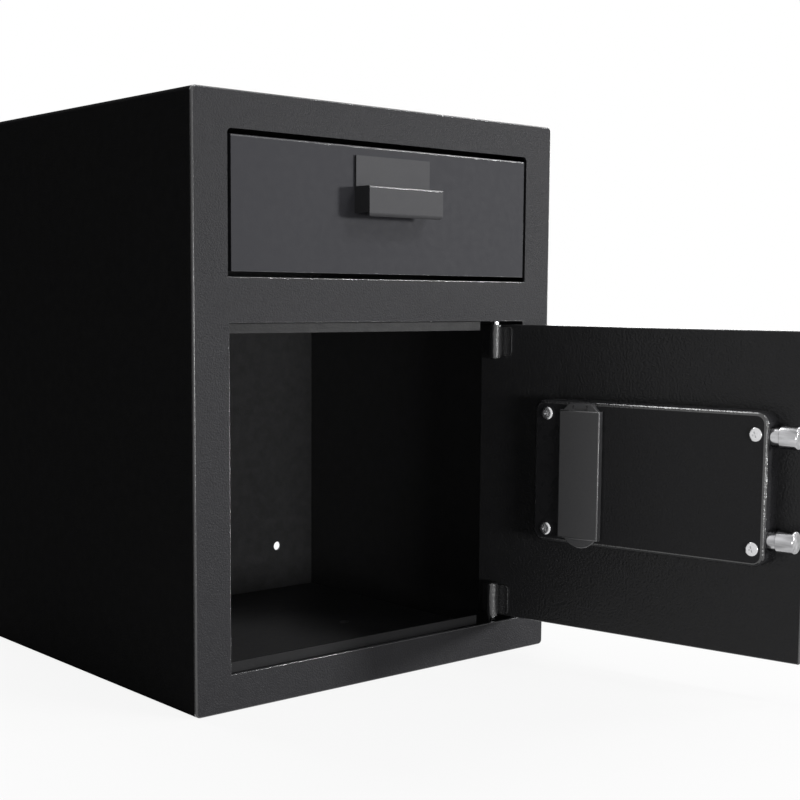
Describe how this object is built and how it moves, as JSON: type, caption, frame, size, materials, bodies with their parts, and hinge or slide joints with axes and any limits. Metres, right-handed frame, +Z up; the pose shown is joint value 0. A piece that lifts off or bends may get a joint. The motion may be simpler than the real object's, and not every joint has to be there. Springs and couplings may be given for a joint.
{
  "type": "drop safe with deposit drawer",
  "caption": "Steel drop safe: a pull-out deposit drawer above a thick hinged door that carries a keypad lock, round bolts and a lift-off battery cover.",
  "frame": {"origin": "middle of the safe's footprint, on the base's underside", "axes": "+Z up, -Y out of the front face, +X towards the hinge side"},
  "size_m": [0.4323, 0.6651, 0.5],
  "materials": {
    "powder_coat": "fine orange-peel powder coat, black, satin",
    "door_coat": "orange-peel powder coat, black, glossy",
    "cover_coat": "smooth black paint, semi-gloss",
    "zinc_steel": "zinc plated",
    "bolt_steel": "polished",
    "black_plastic": "moulded, matt",
    "lid_plastic": "moulded, fine grain",
    "key_plastic": "moulded, satin",
    "board": "green solder mask",
    "cell_sleeve": "printed sleeve, plain",
    "cable_sheath": "black sheath",
    "lamp_lens": "tinted lens",
    "brass_core": "turned",
    "coil_steel": "wound coil in a steel frame"
  },
  "bodies": {
    "safe_body": {"body_shell": "powder_coat", "back_panel": "powder_coat", "front_frame": "powder_coat", "door_stop_top": "powder_coat", "door_stop_bottom": "powder_coat", "latch_strike": "powder_coat", "hinge_lug_top": "powder_coat", "hinge_lug_bottom": "powder_coat", "hinge_pin_top": "zinc_steel", "hinge_pin_bottom": "zinc_steel", "fish_baffle": "powder_coat", "runner_left": "zinc_steel", "runner_right": "zinc_steel"},
    "door": {"door_plate": "door_coat", "hinge_bracket_top": "cover_coat", "hinge_bracket_bottom": "cover_coat", "lock_cover": "cover_coat", "cover_posts": "zinc_steel", "cover_screws": "zinc_steel", "battery_box": "black_plastic", "battery_cells": "cell_sleeve", "battery_contacts": "zinc_steel", "bolt_guide": "zinc_steel", "carriage_studs": "zinc_steel", "solenoid": "coil_steel", "circuit_board": "board", "keypad_cable": "cable_sheath", "keypad_housing": "black_plastic", "keypad_board": "board", "status_lamps": "lamp_lens", "override_lock": "zinc_steel"},
    "bolt_work": {"bolt_carriage": "zinc_steel", "bolt_upper": "bolt_steel", "bolt_lower": "bolt_steel", "bolt_screws": "zinc_steel"},
    "knob_shaft": {"knob": "black_plastic", "knob_spindle": "zinc_steel", "drive_cam": "zinc_steel"},
    "plunger": {"solenoid_plunger": "zinc_steel", "plunger_spring": "zinc_steel"},
    "override_core": {"override_plug": "brass_core", "override_tail": "zinc_steel"},
    "keyhole_cap": {"override_cap": "black_plastic"},
    "battery_lid": {"battery_cover": "lid_plastic"},
    "drawer": {"drawer_front": "powder_coat", "drawer_handle": "powder_coat", "drawer_tray": "powder_coat", "drawer_rails": "zinc_steel"},
    "key_1": {"key_1": "key_plastic"},
    "key_2": {"key_2": "key_plastic"},
    "key_3": {"key_3": "key_plastic"},
    "key_4": {"key_4": "key_plastic"},
    "key_5": {"key_5": "key_plastic"},
    "key_6": {"key_6": "key_plastic"},
    "key_7": {"key_7": "key_plastic"},
    "key_8": {"key_8": "key_plastic"},
    "key_9": {"key_9": "key_plastic"},
    "key_star": {"key_star": "key_plastic"},
    "key_0": {"key_0": "key_plastic"},
    "key_hash": {"key_hash": "key_plastic"}
  },
  "joints": [
    {"name": "door_hinge", "type": "hinge", "parent": "safe_body", "child": "door", "pos_m": [0.143, -0.1745, 0.174], "axis": [0, 0, 1], "range_deg": [-101.5, 13.5]},
    {"name": "drawer_slide", "type": "slide", "parent": "safe_body", "child": "drawer", "axis": [0, -1, 0], "range_m": [0, 0.165]},
    {"name": "bolt_slide", "type": "slide", "parent": "door", "child": "bolt_work", "axis": [0.1994, -0.9799, 0], "range_m": [0, 0.018]},
    {"name": "knob_turn", "type": "hinge", "parent": "door", "child": "knob_shaft", "pos_m": [0.19382, -0.35907, 0.183], "axis": [0.9799, 0.1994, 0], "range_deg": [0, 90]},
    {"name": "plunger_slide", "type": "slide", "parent": "door", "child": "plunger", "axis": [0, 0, 1], "range_m": [0, 0.004], "deforming": ["plunger_spring"]},
    {"name": "override_turn", "type": "hinge", "parent": "door", "child": "override_core", "pos_m": [0.18455, -0.31351, 0.222], "axis": [0.9799, 0.1994, 0], "range_deg": [0, 90]},
    {"name": "keyhole_cap_swivel", "type": "hinge", "parent": "door", "child": "keyhole_cap", "pos_m": [0.19827, -0.31072, 0.2322], "axis": [0.9799, 0.1994, 0], "range_deg": [-90, 90]},
    {"name": "battery_lid_lift", "type": "slide", "parent": "door", "child": "battery_lid", "axis": [-0.9799, -0.1994, 0], "range_m": [0, 0.03]},
    {"name": "key_1_press", "type": "slide", "parent": "door", "child": "key_1", "axis": [-0.9799, -0.1994, 0], "range_m": [0, 0.001], "stiffness_N_per_m": 400},
    {"name": "key_2_press", "type": "slide", "parent": "door", "child": "key_2", "axis": [-0.9799, -0.1994, 0], "range_m": [0, 0.001], "stiffness_N_per_m": 400},
    {"name": "key_3_press", "type": "slide", "parent": "door", "child": "key_3", "axis": [-0.9799, -0.1994, 0], "range_m": [0, 0.001], "stiffness_N_per_m": 400},
    {"name": "key_4_press", "type": "slide", "parent": "door", "child": "key_4", "axis": [-0.9799, -0.1994, 0], "range_m": [0, 0.001], "stiffness_N_per_m": 400},
    {"name": "key_5_press", "type": "slide", "parent": "door", "child": "key_5", "axis": [-0.9799, -0.1994, 0], "range_m": [0, 0.001], "stiffness_N_per_m": 400},
    {"name": "key_6_press", "type": "slide", "parent": "door", "child": "key_6", "axis": [-0.9799, -0.1994, 0], "range_m": [0, 0.001], "stiffness_N_per_m": 400},
    {"name": "key_7_press", "type": "slide", "parent": "door", "child": "key_7", "axis": [-0.9799, -0.1994, 0], "range_m": [0, 0.001], "stiffness_N_per_m": 400},
    {"name": "key_8_press", "type": "slide", "parent": "door", "child": "key_8", "axis": [-0.9799, -0.1994, 0], "range_m": [0, 0.001], "stiffness_N_per_m": 400},
    {"name": "key_9_press", "type": "slide", "parent": "door", "child": "key_9", "axis": [-0.9799, -0.1994, 0], "range_m": [0, 0.001], "stiffness_N_per_m": 400},
    {"name": "key_star_press", "type": "slide", "parent": "door", "child": "key_star", "axis": [-0.9799, -0.1994, 0], "range_m": [0, 0.001], "stiffness_N_per_m": 400},
    {"name": "key_0_press", "type": "slide", "parent": "door", "child": "key_0", "axis": [-0.9799, -0.1994, 0], "range_m": [0, 0.001], "stiffness_N_per_m": 400},
    {"name": "key_hash_press", "type": "slide", "parent": "door", "child": "key_hash", "axis": [-0.9799, -0.1994, 0], "range_m": [0, 0.001], "stiffness_N_per_m": 400}
  ],
  "couplings": [
    {"joint": "knob_turn", "follows": "bolt_slide", "rad_per_m": 87.266}
  ]
}
